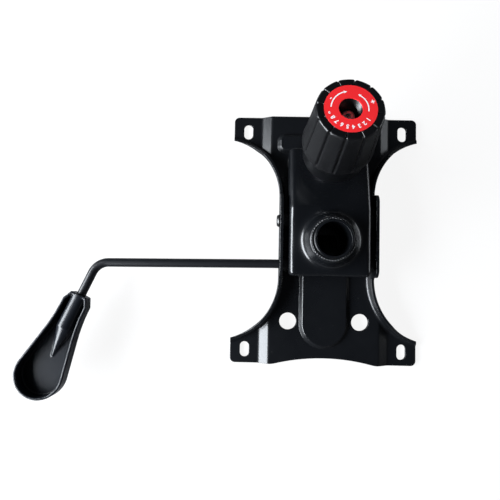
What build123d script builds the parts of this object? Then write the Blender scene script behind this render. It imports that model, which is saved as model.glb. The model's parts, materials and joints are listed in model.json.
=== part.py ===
from build123d import *
import os
from math import atan2, cos, degrees, hypot, radians, sin, sqrt, tan

os.makedirs("parts", exist_ok=True)

# Tilt plate of an office chair, lying on the face that is bolted to the seat.
# X runs across the chair, +Y points to its front and +Z away from the seat.
# The origin is the middle of the four seat slots, in the plane of the seat face.
# Lengths are in millimetres and angles in degrees.

# Seat plate, one pressing of sheet steel
gauge = 2.5
slot_spacing_x = 142.0
slot_spacing_y = 200.0
slot_width = 8.2
slot_length = 14.0
side_margin = 13.0
front_margin = 13.4
rear_margin = 12.0
ear_depth = 22.6
ear_corner = 4.5
ear_tip = 2.0
ear_flat = 12.5
joggle_run = 9.2
joggle_rise = 4.8
joggle_bend = 5.0
rear_dip = 6.0
rear_dip_half = 46.0
waist_half = 41.8
front_arc_radius = 53.5
rear_arc_radius = 57.5
lip_bend = 3.0
lip_waist = 18.5
lip_side = 17.0
lip_ear = 4.2
lip_fade = 15.0
lip_shoulder = 7.0
flange_height = 34.5
flange_front = 38.4
flange_rear = -32.8
flange_corner = 7.0
drain_hole_radius = 7.65
drain_hole_x = 32.3
drain_hole_inset = 38.6

# Raised T and tongue pressed into the plate
bead_rise = 3.0
bead_slope = 45.0
bead_edge = 1.4
stem_half = 22.4
bar_half = 44.0
bar_depth = 18.4
bar_inset = 16.0
tongue_inset = 14.4
bead_corner = 7.0

# Tilt pivot, two shouldered rivets through the flanges
pivot_y = 15.5
pivot_z = 21.0
tilt_max = 11.0
rivet_radius = 4.0
rivet_head_radius = 5.4
rivet_head_height = 2.6
rivet_crown = 2.1
rivet_tail_radius = 6.0
rivet_tail_height = 2.0
bush_flange_radius = 6.6
bush_wall = 1.6

# Housing, a deep drawn pan
side_gap = 4.9
box_rear = -32.5
box_front = 80.0
box_height = 39.3
slope_start = 25.7
box_corner = 4.6
floor_gap = 0.7
pad_thickness = 3.5
pad_length = 10.0
pad_width = 8.0
pad_gap = 0.2
pad_corner = 2.0
pad_edge = 0.7

# Gas lift socket
socket_y = -1.9
socket_radius = 14.0
socket_wall = 2.0
socket_edge = 0.5
socket_mouth = 56.0
socket_stand = 5.2
socket_gap = 3.5
boss_radius = 24.1
boss_top_radius = 18.4
boss_fillet = 4.0
boss_crown = 0.8
weld_leg = 2.3
weld_bulge = 1.5
saddle_height = 30.0
saddle_gap = 0.2

# Height lever
rod_radius = 3.8
rod_tip_radius = 2.5
rod_y = -22.3
rod_z = 23.5
rod_bend_x = -200.0
rod_bend_radius = 15.0
rod_kink_x = -50.0
rod_drift = 1.75
rod_leg = 30.7
rod_turn = 24.1
rod_droop = 3.0
tip_shoulder = 22.0
tip_reach = 38.4
tip_chamfer = 0.6
lock_travel = 8.0
lever_bush_wall = 0.9
lever_collar_radius = 5.6
stop_radius = 5.4
stop_width = 4.0
stop_gap = 1.0
stop_pin_radius = 1.25
slot_clearance = 1.0

# Handle, a shallow moulded tray
handle_length = 95.2
handle_half = 20.9
handle_neck = 11.1
handle_end = 7.2
neck_corner = 8.0
neck_straight = 2.0
handle_flare = 11.5
handle_depth = 13.0
handle_wall = 2.2
handle_edge = 2.4
handle_socket_radius = 7.0
handle_socket_length = 31.0
handle_ridge_end = 59.0
rod_insert = 27.0

# Release blade under the gas lift
blade_hub_radius = 5.0
blade_width = 18.0
blade_thickness = 3.0
blade_corner = 4.5
blade_reach = 26.0
blade_drop = 8.9
coil_wire = 0.45
coil_turns = 12

# Tilt tension bolt, leaning towards the front
bolt_lean = 13.0
bolt_foot_y = 58.7
bolt_radius = 5.0
eye_radius = 8.0
eye_width = 10.0
eye_lift = 0.7
anchor_pin_radius = 4.0
lug_thickness = 3.0
lug_foot = 8.0
lug_gap = 0.5
pin_head = 1.5
pin_chamfer = 0.4
face_slot_extra = 1.5
face_slot_length = 17.0

# Tension spring and knob, heights measured along the bolt from its pin
seat_thickness = 1.6
seat_margin = 1.0
seat_edge = 0.5
spring_radius = 11.5
spring_wire = 2.0
spring_turns = 6.5
washer_thickness = 2.0
nut_flats = 17.0
nut_height = 8.0
knob_gap = 14.6
knob_length = 66.0
knob_top_radius = 24.0
knob_shoulder_radius = 28.3
knob_tier = 21.0
knob_tier_radius = 26.6
knob_base_radius = 25.4
knob_edge = 1.8
knob_cavity_radius = 20.3
knob_hub_radius = 12.6
knob_roof = 4.0
knob_hole_radius = 8.2
knob_floor = 3.0
bolt_end_below_top = 8.2
bolt_show = 10.3
bolt_end_chamfer = 1.3
bolt_centre_radius = 1.7
bolt_centre_taper = 30.0
groove_count = 12
groove_width = 1.5
groove_depth = 1.4
groove_phase = 20.0
label_radius = 18.2
label_thickness = 0.8

# Running and assembly clearances
running_clearance = 0.05
fitted_clearance = 0.02
face_clearance = 0.3

# Places worked out from the driving sizes
slot_x = slot_spacing_x / 2
slot_y = slot_spacing_y / 2
ear_half = slot_x + side_margin
front_edge = slot_y + front_margin
rear_edge = slot_y + rear_margin
joggle_low = slot_x - ear_flat
joggle_high = joggle_low - joggle_run
front_arc_x = waist_half + front_arc_radius
rear_arc_x = waist_half + rear_arc_radius
front_arc_y = front_edge - ear_depth - sqrt(front_arc_radius**2 - (front_arc_x - ear_half) ** 2)
rear_arc_y = sqrt(rear_arc_radius**2 - (rear_arc_x - ear_half) ** 2) - rear_edge + ear_depth
floor_z = joggle_rise + gauge
bead_z = floor_z + bead_rise
flange_inner = waist_half - gauge
box_half = flange_inner - side_gap
box_inner = box_half - gauge
tilt_slope = tan(radians(tilt_max))
lean_sin = sin(radians(bolt_lean))
lean_cos = cos(radians(bolt_lean))
socket_outer = socket_radius + socket_wall
socket_foot = rod_z + socket_gap
weld_foot = socket_mouth - socket_stand
boss_rise = weld_foot - box_height
box_front_height = box_height - (box_front - slope_start) * tan(radians(bolt_lean))
bush_radius = rivet_radius + running_clearance + bush_wall
lever_bush_radius = rod_radius + running_clearance + lever_bush_wall
stop_x = box_inner - stop_gap - stop_width / 2
rod_swing = hypot(rod_y - pivot_y, rod_z - pivot_z)
rod_angle = degrees(atan2(rod_z - pivot_z, rod_y - pivot_y))
above_all = socket_mouth + 50.0

# The lever's bent leg and the handle share one line, which droops a little
droop_cos = cos(radians(rod_droop))
leg_x = -sin(radians(rod_turn)) * droop_cos
leg_y = -cos(radians(rod_turn)) * droop_cos
leg_z = sin(radians(rod_droop))
leg = Vector(leg_x, leg_y, leg_z)
rod_bend = Vector(rod_bend_x, rod_y - rod_drift, rod_z)
rod_end = rod_bend + leg * (rod_leg + rod_insert)
handle_start = rod_bend + leg * rod_leg
handle_across = Vector(0, 0, 1).cross(leg).normalized()
handle_frame = Plane(origin=handle_start, x_dir=leg, z_dir=leg.cross(handle_across))
handle_entry = Plane(origin=handle_start, x_dir=handle_across, z_dir=leg)
ridge_end_plane = Plane(
    origin=handle_start + leg * handle_ridge_end - handle_frame.z_dir * (handle_depth / 2 - handle_wall),
    x_dir=handle_across,
    z_dir=leg,
)

# The bolt's own frame, from its pin towards the knob
anchor_z = bead_z + eye_lift + eye_radius
anchor_y = bolt_foot_y + (anchor_z - floor_z) * tan(radians(bolt_lean))
bolt_frame = Plane(origin=(0, anchor_y, anchor_z), x_dir=(1, 0, 0), z_dir=(0, lean_sin, lean_cos))
face_along = (slope_start - anchor_y) * lean_sin + (box_height - anchor_z) * lean_cos
knob_base = face_along + seat_thickness + knob_gap
knob_top = knob_base + knob_length
bolt_end = knob_top - bolt_end_below_top
nut_along = bolt_end - bolt_show - knob_floor - nut_height
washer_along = nut_along - washer_thickness
hub_along = nut_along + pad_gap
spring_outer = spring_radius + spring_wire


def side_plane(side, x, y, z):
    """Plane facing outwards at one side of the plate."""
    return Plane(origin=(side * x, y, z), x_dir=(0, 1, 0), z_dir=(side, 0, 0))


def joggle_profile(lift):
    """Cross-section under a joggled sheet surface, lifted from the seat face."""
    with BuildSketch(Plane.XZ) as profile:
        with BuildLine():
            Polyline(
                (-above_all * 2, lift - above_all),
                (-above_all * 2, lift),
                (-joggle_low, lift),
                (-joggle_high, lift + joggle_rise),
                (joggle_high, lift + joggle_rise),
                (joggle_low, lift),
                (above_all * 2, lift),
                (above_all * 2, lift - above_all),
                close=True,
            )
        make_face()
        bends = profile.vertices().filter_by(lambda v: abs(v.X) <= joggle_low + 1)
        fillet(bends, radius=joggle_bend)
    return profile.sketch


def waist_cut(inset):
    """Both curved sides of the plate: an arc to each ear and a straight between them."""
    with BuildSketch() as waists:
        for side in (-1, 1):
            with Locations((side * front_arc_x, front_arc_y)):
                Circle(front_arc_radius + inset)
            with Locations((side * rear_arc_x, rear_arc_y)):
                Circle(rear_arc_radius + inset)
            with Locations((side * (waist_half - inset + ear_half), (front_arc_y + rear_arc_y) / 2)):
                Rectangle(2 * ear_half, front_arc_y - rear_arc_y)
    return waists.sketch


def on_waist(edge, inset):
    """True for an edge that runs along a curved side moved in by inset."""
    middle = edge @ 0.5
    if middle.Y > front_arc_y:
        away = hypot(abs(middle.X) - front_arc_x, middle.Y - front_arc_y) - front_arc_radius - inset
    elif middle.Y < rear_arc_y:
        away = hypot(abs(middle.X) - rear_arc_x, middle.Y - rear_arc_y) - rear_arc_radius - inset
    else:
        away = waist_half - inset - abs(middle.X)
    return abs(away) < 0.01 and abs((edge % 0.5).Z) < 0.7


def bead_outline(shrink):
    """Raised T with its tongue, drawn in from its foot by shrink."""
    bar_front = front_edge - bar_inset
    tongue_end = rear_edge - tongue_inset
    tongue_middle = tongue_end - stem_half
    with BuildSketch() as bead:
        with Locations((0, bar_front - bar_depth / 2)):
            Rectangle(2 * bar_half, bar_depth)
        with Locations((0, (bar_front - tongue_middle) / 2)):
            Rectangle(2 * stem_half, bar_front + tongue_middle)
        inner = bead.vertices().filter_by(lambda v: v.Y > 0)
        fillet(inner, radius=bead_corner)
        with Locations((0, -tongue_middle)):
            Circle(stem_half)
        if shrink:
            offset(amount=-shrink, mode=Mode.REPLACE)
    return bead.sketch


# Seat plate
with BuildPart() as plate_inside:
    with BuildSketch():
        Rectangle(2 * above_all, 3 * above_all)
        add(waist_cut(gauge), mode=Mode.SUBTRACT)
    extrude(amount=above_all)
    extrude(joggle_profile(gauge), amount=2 * above_all, both=True, mode=Mode.SUBTRACT)
    feet = plate_inside.edges().filter_by(lambda e: e.bounding_box().max.Z < floor_z + 0.01)
    fillet(feet.filter_by(lambda e: on_waist(e, gauge)), radius=lip_bend)

# What lies above the turned-up sides, low at the ears and high at the pivot
with BuildPart() as above_sides:
    with BuildSketch(Plane.YZ) as side_tops:
        with BuildLine():
            Polyline(
                (-rear_edge - gauge, lip_ear),
                (-rear_edge + ear_depth, lip_ear),
                (-rear_edge + ear_depth + lip_fade, lip_side),
                (flange_rear - lip_shoulder, lip_waist),
                (flange_rear, lip_waist),
                (flange_rear, flange_height),
                (flange_front, flange_height),
                (flange_front, lip_waist),
                (flange_front + lip_shoulder, lip_waist),
                (front_edge - ear_depth - lip_fade, lip_side),
                (front_edge - ear_depth, lip_ear),
                (front_edge + gauge, lip_ear),
                (front_edge + gauge, above_all),
                (-rear_edge - gauge, above_all),
                close=True,
            )
        make_face()
        corners = side_tops.vertices().filter_by(lambda v: flange_rear - 1 < v.X < flange_front + 1)
        fillet(corners.filter_by(lambda v: v.Y > lip_waist + 1), radius=flange_corner)
        fillet(side_tops.vertices().filter_by(lambda v: abs(v.Y - lip_waist) < 0.01), radius=lip_bend)
    extrude(amount=2 * ear_half, both=True)
    extrude(joggle_profile(gauge), amount=2 * above_all, both=True, mode=Mode.SUBTRACT)

with BuildPart() as seat_plate:
    with BuildSketch() as outline:
        with Locations((0, (front_edge - rear_edge) / 2)):
            Rectangle(2 * ear_half, front_edge + rear_edge)
        fillet(outline.vertices(), radius=ear_corner)
        dip_radius = (rear_dip_half**2 + rear_dip**2) / (2 * rear_dip)
        with Locations((0, rear_dip - rear_edge - dip_radius)):
            Circle(dip_radius, mode=Mode.SUBTRACT)
        dip_ends = outline.vertices().filter_by(lambda v: abs(abs(v.X) - rear_dip_half) < 1)
        fillet(dip_ends, radius=rear_dip_half / 2)
        add(waist_cut(0), mode=Mode.SUBTRACT)
    extrude(amount=flange_height)
    extrude(joggle_profile(0), amount=2 * above_all, both=True, mode=Mode.SUBTRACT)
    backs = seat_plate.edges().filter_by(lambda e: e.bounding_box().max.Z < joggle_rise + 0.01)
    fillet(backs.filter_by(lambda e: on_waist(e, 0)), radius=lip_bend + gauge)
    add(plate_inside.part, mode=Mode.SUBTRACT)
    add(above_sides.part, mode=Mode.SUBTRACT)
    # Round tips of the ears
    with BuildSketch():
        add(outline.sketch)
        tips = outline.vertices().filter_by(lambda v: abs(abs(v.X) - ear_half) < 0.01)
        fillet(tips.filter_by(lambda v: abs(v.Y) < slot_y), radius=ear_tip)
    extrude(amount=flange_height, mode=Mode.INTERSECT)
    # Raised T and tongue
    with BuildSketch(Plane.XY.offset(floor_z - gauge / 2)):
        add(bead_outline(-gauge / 2))
    extrude(amount=bead_rise + gauge / 2, taper=bead_slope)
    bead_tops = seat_plate.faces().filter_by(lambda f: abs(f.center().Z - bead_z) < 0.01)
    fillet(bead_tops.edges(), radius=bead_edge)
    with BuildSketch(Plane.XY.offset(joggle_rise)):
        add(bead_outline(gauge * tan(radians(bead_slope / 2))))
    extrude(amount=bead_rise, taper=bead_slope, mode=Mode.SUBTRACT)
    # Slots for the seat bolts and two round holes for the paint hooks
    with BuildSketch():
        with GridLocations(slot_spacing_x, slot_spacing_y, 2, 2):
            SlotOverall(slot_length, slot_width, rotation=90)
        with Locations((0, drain_hole_inset - rear_edge)):
            with GridLocations(2 * drain_hole_x, 0, 2, 1):
                Circle(drain_hole_radius)
    extrude(amount=above_all, mode=Mode.SUBTRACT)
    # Pivot holes, the lever's arc slot on the left and the two lock holes on the right
    with BuildSketch(Plane.YZ):
        with Locations((pivot_y, pivot_z)):
            Circle(rivet_radius + fitted_clearance)
    extrude(amount=2 * waist_half, both=True, mode=Mode.SUBTRACT)
    with BuildSketch(Plane.YZ.offset(-flange_inner + gauge)):
        with BuildLine() as rod_path:
            CenterArc((pivot_y, pivot_z), rod_swing, rod_angle, tilt_max)
        SlotArc(arc=rod_path.wire(), height=2 * (rod_radius + slot_clearance))
    extrude(amount=-3 * gauge, mode=Mode.SUBTRACT)
    with BuildSketch(Plane.YZ.offset(flange_inner - gauge)):
        with Locations((pivot_y, pivot_z)):
            with PolarLocations(rod_swing, 2, start_angle=rod_angle, angular_range=tilt_max, endpoint=True):
                Circle(rod_tip_radius + face_clearance)
    extrude(amount=3 * gauge, mode=Mode.SUBTRACT)
seat_plate.part.label = "seat_plate"
export_step(seat_plate.part, "parts/seat_plate.step")

# Rubber pads that the front of the housing rests on
with BuildPart() as bump_pads:
    with BuildSketch(Plane.XY.offset(floor_z)) as pad_feet:
        with Locations((0, box_front - pad_length)):
            with GridLocations(2 * box_half - pad_width, 0, 2, 1):
                Rectangle(pad_width, pad_length)
        fillet(pad_feet.vertices(), radius=pad_corner)
    extrude(amount=pad_thickness)
    pad_tops = bump_pads.faces().group_by(Axis.Z)[-1]
    fillet(pad_tops.edges(), radius=pad_edge)
bump_pads.part.label = "bump_pads"
export_step(bump_pads.part, "parts/bump_pads.step")

# Shouldered rivets and the flanged bushes that turn on them, one pair a side
for side, side_name in ((-1, "left"), (1, "right")):
    tail_start = box_inner - face_clearance
    with BuildPart() as pivot_rivet:
        with BuildSketch(side_plane(side, waist_half, pivot_y, pivot_z)):
            Circle(rivet_head_radius)
        extrude(amount=rivet_head_height)
        crown = pivot_rivet.faces().sort_by(Axis.X)[0 if side < 0 else -1]
        fillet(crown.edges(), radius=rivet_crown)
        with BuildSketch(side_plane(side, tail_start - rivet_tail_height, pivot_y, pivot_z)):
            Circle(rivet_radius)
        extrude(amount=waist_half - tail_start + rivet_tail_height)
        with BuildSketch(side_plane(side, tail_start - rivet_tail_height, pivot_y, pivot_z)):
            Circle(rivet_tail_radius)
        extrude(amount=rivet_tail_height)
    pivot_rivet.part.label = f"pivot_rivet_{side_name}"
    export_step(pivot_rivet.part, f"parts/pivot_rivet_{side_name}.step")

    with BuildPart() as pivot_bush:
        with BuildSketch(side_plane(side, box_inner, pivot_y, pivot_z)):
            Circle(bush_radius)
        extrude(amount=gauge)
        with BuildSketch(side_plane(side, box_half, pivot_y, pivot_z)):
            Circle(bush_flange_radius)
        extrude(amount=side_gap - face_clearance)
        with BuildSketch(side_plane(side, box_inner, pivot_y, pivot_z)):
            Circle(rivet_radius + running_clearance)
        extrude(amount=gauge + side_gap, mode=Mode.SUBTRACT)
    pivot_bush.part.label = f"pivot_bush_{side_name}"
    export_step(pivot_bush.part, f"parts/pivot_bush_{side_name}.step")

# Bushes that carry the lever, the right one bored for its thinner tip
for side, side_name, journal in ((-1, "left", rod_radius), (1, "right", rod_tip_radius)):
    with BuildPart() as lever_bush:
        with BuildSketch(side_plane(side, box_inner, rod_y, rod_z)):
            Circle(lever_bush_radius)
        extrude(amount=gauge)
        with BuildSketch(side_plane(side, box_half, rod_y, rod_z)):
            Circle(lever_collar_radius)
        extrude(amount=side_gap - face_clearance)
        with BuildSketch(side_plane(side, box_inner, rod_y, rod_z)):
            Circle(journal + running_clearance)
        extrude(amount=gauge + side_gap, mode=Mode.SUBTRACT)
    lever_bush.part.label = f"lever_bush_{side_name}"
    export_step(lever_bush.part, f"parts/lever_bush_{side_name}.step")


def pan(inset):
    """The pan's outer shape, with its skin moved in by inset."""
    with BuildPart() as body:
        with BuildSketch(Plane.YZ):
            with BuildLine():
                Polyline(
                    (box_rear, 0),
                    (box_rear, box_height),
                    (slope_start, box_height),
                    (box_front, box_front_height),
                    (box_front, 0),
                    close=True,
                )
            make_face()
            if inset:
                offset(amount=-inset, kind=Kind.INTERSECTION, mode=Mode.REPLACE)
        extrude(amount=box_half - inset, both=True)
        upper = body.edges().filter_by(lambda e: e.center().Z > gauge + 1)
        fillet(upper, radius=box_corner - inset)
    return body.part


def under_rim(level, half_width):
    """Space under the pan's rim, which stays clear of the plate at full tilt."""
    rear = box_rear - gauge
    front = box_front + gauge
    with BuildPart() as space:
        with BuildSketch(Plane.YZ):
            with BuildLine():
                Polyline(
                    (rear, -gauge),
                    (rear, level + (pivot_y - rear) * tilt_slope),
                    (pivot_y, level),
                    (front, level),
                    (front, -gauge),
                    close=True,
                )
            make_face()
        extrude(amount=half_width, both=True)
    return space.part


# Housing
with BuildPart() as housing:
    add(pan(0))
    with Locations((0, socket_y, box_height)):
        Cone(boss_radius, boss_top_radius, boss_rise, align=(Align.CENTER, Align.CENTER, Align.MIN))
    boss_foot = housing.edges().filter_by(GeomType.CIRCLE)
    boss_foot = boss_foot.filter_by(lambda e: abs(e.radius - boss_radius) < 0.01)
    fillet(boss_foot, radius=boss_fillet)
    boss_edge = housing.edges().filter_by(GeomType.CIRCLE)
    boss_edge = boss_edge.filter_by(lambda e: abs(e.radius - boss_top_radius) < 0.01)
    fillet(boss_edge, radius=boss_crown)
    add(pan(gauge), mode=Mode.SUBTRACT)
    with Locations((0, socket_y, box_height - gauge)):
        Cone(
            boss_radius - gauge,
            boss_top_radius - gauge,
            boss_rise,
            align=(Align.CENTER, Align.CENTER, Align.MIN),
            mode=Mode.SUBTRACT,
        )
    with BuildSketch(Plane.XY.offset(pivot_z)):
        with Locations((0, socket_y)):
            Circle(socket_outer + fitted_clearance)
    extrude(amount=socket_mouth, mode=Mode.SUBTRACT)
    add(under_rim(floor_z + floor_gap, 2 * box_half), mode=Mode.SUBTRACT)
    add(under_rim(bead_z + floor_gap, stem_half + bead_rise), mode=Mode.SUBTRACT)
    with BuildSketch(Plane.YZ):
        with Locations((box_front, 0)):
            Rectangle(4 * pad_length, 2 * (floor_z + pad_thickness + pad_gap))
    extrude(amount=2 * box_half, both=True, mode=Mode.SUBTRACT)
    with BuildSketch(bolt_frame.offset(face_along - 2 * gauge)):
        SlotOverall(face_slot_length, 2 * (bolt_radius + face_slot_extra), rotation=90)
    extrude(amount=4 * gauge, mode=Mode.SUBTRACT)
    with BuildSketch(Plane.YZ):
        with Locations((pivot_y, pivot_z)):
            Circle(bush_radius + fitted_clearance)
        with Locations((rod_y, rod_z)):
            Circle(lever_bush_radius + fitted_clearance)
    extrude(amount=2 * box_half, both=True, mode=Mode.SUBTRACT)
housing.part.label = "housing"
export_step(housing.part, "parts/housing.step")

# Socket that the gas lift's cone is pushed into, welded into the boss
with BuildPart() as gas_lift_socket:
    with BuildSketch(Plane.XY.offset(socket_mouth)):
        with Locations((0, socket_y)):
            Circle(socket_outer)
            Circle(socket_radius, mode=Mode.SUBTRACT)
    extrude(amount=socket_foot - socket_mouth)
    lip = gas_lift_socket.edges().filter_by(GeomType.CIRCLE)
    lip = lip.filter_by(lambda e: abs(e.radius - socket_outer) < 0.01).sort_by(Axis.Z)[-1]
    chamfer(lip, length=socket_edge)
gas_lift_socket.part.label = "gas_lift_socket"
export_step(gas_lift_socket.part, "parts/gas_lift_socket.step")

socket_axis = Axis((0, socket_y, 0), (0, 0, 1))
socket_section = Plane(origin=(0, socket_y, 0), x_dir=(1, 0, 0), z_dir=(0, -1, 0))

# Weld between the boss and the socket
with BuildPart() as weld_bead:
    weld_inside = socket_outer + fitted_clearance
    with BuildSketch(socket_section):
        with BuildLine():
            low = Line((weld_inside, weld_foot), (weld_inside + weld_leg, weld_foot))
            up = Line((weld_inside, weld_foot), (weld_inside, weld_foot + weld_leg))
            ThreePointArc(low @ 1, (weld_inside + weld_bulge, weld_foot + weld_bulge), up @ 1)
        make_face()
    revolve(axis=socket_axis)
weld_bead.part.label = "weld_bead"
export_step(weld_bead.part, "parts/weld_bead.step")

# Saddle plate that steadies the socket's inner end
with BuildPart() as inner_saddle:
    saddle_rear = box_rear + gauge + saddle_gap
    with BuildSketch(Plane.XY.offset(saddle_height)) as saddle:
        with Locations((0, (saddle_rear + slope_start) / 2)):
            Rectangle(2 * (box_inner - saddle_gap), slope_start - saddle_rear)
        fillet(saddle.vertices(), radius=gauge)
        with Locations((0, socket_y)):
            Circle(socket_outer + fitted_clearance, mode=Mode.SUBTRACT)
    extrude(amount=gauge)
inner_saddle.part.label = "inner_saddle"
export_step(inner_saddle.part, "parts/inner_saddle.step")

# Lever rod, bent to the handle and turned down at its inner end
with BuildPart() as lever_rod:
    with BuildLine():
        FilletPolyline(
            (tip_shoulder, rod_y, rod_z),
            (rod_kink_x, rod_y, rod_z),
            rod_bend,
            rod_end,
            radius=rod_bend_radius,
        )
    with BuildSketch(Plane(origin=(tip_shoulder, rod_y, rod_z), z_dir=(-1, 0, 0))):
        Circle(rod_radius)
    sweep()
    with BuildSketch(side_plane(1, tip_shoulder, rod_y, rod_z)):
        Circle(rod_tip_radius)
    extrude(amount=tip_reach - tip_shoulder)
    chamfer(lever_rod.faces().sort_by(Axis.X)[-1].edges(), length=tip_chamfer)
    with BuildSketch(Plane.XY):
        with Locations((-stop_x, rod_y)):
            Circle(stop_pin_radius)
    extrude(amount=socket_mouth, mode=Mode.SUBTRACT)
lever_rod.part.label = "lever_rod"
export_step(lever_rod.part, "parts/lever_rod.step")

# Stop collar pinned to the rod inside the left wall
with BuildPart() as stop_collar:
    with BuildSketch(side_plane(-1, stop_x - stop_width / 2, rod_y, rod_z)):
        Circle(stop_radius)
        Circle(rod_radius + fitted_clearance, mode=Mode.SUBTRACT)
    extrude(amount=stop_width)
    with BuildSketch(Plane.XY):
        with Locations((-stop_x, rod_y)):
            Circle(stop_pin_radius)
    extrude(amount=socket_mouth, mode=Mode.SUBTRACT)
stop_collar.part.label = "stop_collar"
export_step(stop_collar.part, "parts/stop_collar.step")

with BuildPart() as collar_pin:
    with BuildSketch(Plane.XY.offset(rod_z - stop_radius)):
        with Locations((-stop_x, rod_y)):
            Circle(stop_pin_radius - fitted_clearance)
            Circle(stop_pin_radius / 2, mode=Mode.SUBTRACT)
    extrude(amount=2 * stop_radius)
collar_pin.part.label = "collar_pin"
export_step(collar_pin.part, "parts/collar_pin.step")

# Handle, an open tray round a socket for the rod
handle_depth_plane = handle_frame.offset(-handle_depth / 2)
round_x = handle_length - handle_half
touch_x = round_x - handle_half * sin(radians(handle_flare))
touch_y = handle_half * cos(radians(handle_flare))
turn_x = touch_x - (touch_y - handle_neck) / tan(radians(handle_flare))
neck_bend = (turn_x - neck_corner - neck_straight) / tan(radians(handle_flare / 2))
with BuildPart() as lever_handle:
    with BuildSketch(handle_depth_plane) as tray:
        with BuildLine():
            Polyline(
                (round_x, -handle_half / 2),
                (touch_x, -touch_y),
                (turn_x, -handle_neck),
                (neck_corner, -handle_neck),
                (0, -handle_end),
                (0, handle_end),
                (neck_corner, handle_neck),
                (turn_x, handle_neck),
                (touch_x, touch_y),
                (round_x, handle_half / 2),
                close=True,
            )
        make_face()
        flares = tray.vertices().filter_by(lambda v: handle_neck < v.X < touch_x - 1)
        fillet(flares, radius=neck_bend)
        with Locations((round_x, 0)):
            Circle(handle_half)
    extrude(amount=handle_depth)
    tray_floor = lever_handle.faces().sort_by(Axis(handle_frame.origin, handle_frame.z_dir))[0]
    fillet(tray_floor.edges(), radius=handle_edge)
    with BuildSketch(handle_depth_plane.offset(handle_wall)):
        add(tray.sketch_local)
        offset(amount=-handle_wall, mode=Mode.REPLACE)
    extrude(amount=handle_depth, mode=Mode.SUBTRACT)
    with BuildSketch(handle_entry):
        Circle(handle_socket_radius)
    extrude(amount=handle_socket_length)
    with BuildSketch(handle_entry.offset(handle_socket_length)):
        Circle(handle_socket_radius)
    with BuildSketch(ridge_end_plane):
        Circle(handle_wall / 4)
    loft()
    with BuildSketch(handle_depth_plane):
        Circle(2 * handle_length)
    extrude(amount=-handle_depth, mode=Mode.SUBTRACT)
    with BuildSketch(handle_entry):
        Circle(rod_radius + fitted_clearance)
    extrude(amount=rod_insert + 1, mode=Mode.SUBTRACT)
lever_handle.part.label = "lever_handle"
export_step(lever_handle.part, "parts/lever_handle.step")

# Release blade, a hub on the rod with a flat arm over the gas lift's button
with BuildPart() as release_blade:
    blade_angle = degrees(atan2(blade_drop, blade_reach))
    with BuildSketch(Plane.YZ) as arm:
        with Locations((rod_y + blade_reach / 2, rod_z - blade_drop / 2)):
            Rectangle(hypot(blade_reach, blade_drop), blade_thickness, rotation=-blade_angle)
        with Locations((rod_y, rod_z)):
            Circle(blade_hub_radius)
            Circle(rod_radius + running_clearance, mode=Mode.SUBTRACT)
    extrude(amount=blade_width / 2, both=True)
    tip_corners = release_blade.edges().filter_by(lambda e: e.center().Y > rod_y + blade_reach - 2)
    tip_corners = tip_corners.filter_by(lambda e: abs((e % 0.5).X) < 0.1 and e.length < blade_thickness + 0.1)
    fillet(tip_corners, radius=blade_corner)
release_blade.part.label = "release_blade"
export_step(release_blade.part, "parts/release_blade.step")

# Torsion spring that returns the lever, close wound round the rod
with BuildPart() as return_spring:
    coil_radius = rod_radius + face_clearance + coil_wire
    coil_start = blade_width / 2 + face_clearance
    coil_end = coil_start + 2 * coil_wire * coil_turns
    coil_section = Plane(origin=(coil_start, rod_y, rod_z), x_dir=(1, 0, 0), z_dir=(0, -1, 0))
    with BuildSketch(coil_section):
        for turn in range(coil_turns):
            with Locations(((2 * turn + 1) * coil_wire, coil_radius)):
                Circle(coil_wire)
        with Locations((coil_turns * coil_wire, coil_radius)):
            Rectangle(2 * coil_wire * (coil_turns - 1), coil_wire)
    revolve(axis=Axis((0, rod_y, rod_z), (1, 0, 0)))
    with BuildSketch(Plane.XY.offset(rod_z)):
        with Locations((coil_end - coil_wire, rod_y + coil_radius)):
            Circle(coil_wire - fitted_clearance)
    extrude(amount=coil_radius + coil_wire)
return_spring.part.label = "return_spring"
export_step(return_spring.part, "parts/return_spring.step")

# Lugs on the plate with the pin that holds the tension bolt
lug_inner = eye_width / 2 + face_clearance
lug_outer = lug_inner + lug_thickness
with BuildPart() as anchor_lugs:
    with BuildSketch(Plane.YZ.offset(lug_inner)):
        with Locations((anchor_y, anchor_z)):
            Circle(eye_radius)
        with BuildLine():
            Polyline(
                (anchor_y - eye_radius, anchor_z),
                (anchor_y - eye_radius - lug_thickness, bead_z),
                (anchor_y + eye_radius + lug_thickness, bead_z),
                (anchor_y + eye_radius, anchor_z),
                close=True,
            )
        make_face()
        with Locations((anchor_y, anchor_z)):
            Circle(anchor_pin_radius + fitted_clearance, mode=Mode.SUBTRACT)
    extrude(amount=lug_thickness)
    with BuildSketch(Plane.XY.offset(bead_z)) as foot:
        with Locations((lug_outer + lug_foot / 2 - lug_thickness / 2, anchor_y)):
            Rectangle(lug_foot + lug_thickness, 2 * (eye_radius + lug_thickness))
        fillet(foot.vertices().group_by(Axis.X)[-1], radius=lug_thickness)
    extrude(amount=lug_thickness)
    mirror(about=Plane.YZ)
    add(pan(gauge + lug_gap), mode=Mode.INTERSECT)
anchor_lugs.part.label = "anchor_lugs"
export_step(anchor_lugs.part, "parts/anchor_lugs.step")

with BuildPart() as anchor_pin:
    with BuildSketch(Plane.YZ.offset(-lug_outer)):
        with Locations((anchor_y, anchor_z)):
            Circle(anchor_pin_radius)
    extrude(amount=2 * lug_outer + 2 * pin_head)
    with BuildSketch(Plane.YZ.offset(-lug_outer)):
        with Locations((anchor_y, anchor_z)):
            Circle(anchor_pin_radius + pin_head)
    extrude(amount=-pin_head)
    chamfer(anchor_pin.faces().sort_by(Axis.X)[-1].edges(), length=pin_chamfer)
anchor_pin.part.label = "anchor_pin"
export_step(anchor_pin.part, "parts/anchor_pin.step")

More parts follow.
